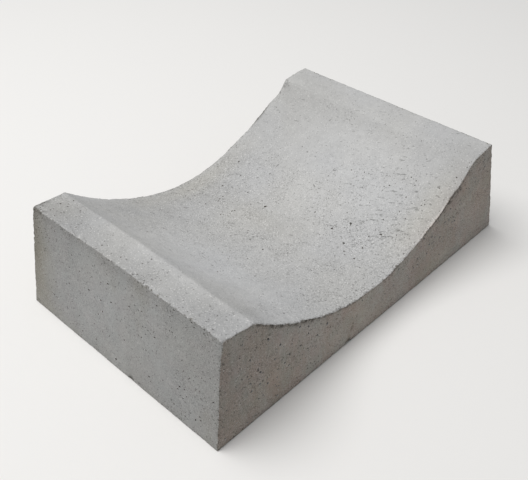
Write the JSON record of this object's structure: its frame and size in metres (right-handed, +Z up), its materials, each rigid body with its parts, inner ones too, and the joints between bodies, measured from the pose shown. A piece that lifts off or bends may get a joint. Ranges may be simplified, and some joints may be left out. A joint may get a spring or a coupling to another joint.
{
  "type": "drainage block",
  "caption": "Precast concrete drainage block with a shallow dished channel between two raised lips, flat ends and a flat base, laid end to end as an open drain.",
  "frame": {"origin": "middle of the flat base, at floor level", "axes": "+Z up, +Y along the channel, the way the water runs, +X across it from lip to lip"},
  "size_m": [0.6, 0.385, 0.1598],
  "materials": {
    "concrete": "cast concrete, matt, with small air holes"
  },
  "bodies": {
    "root": {"drainage_block": "concrete"}
  },
  "joints": []
}
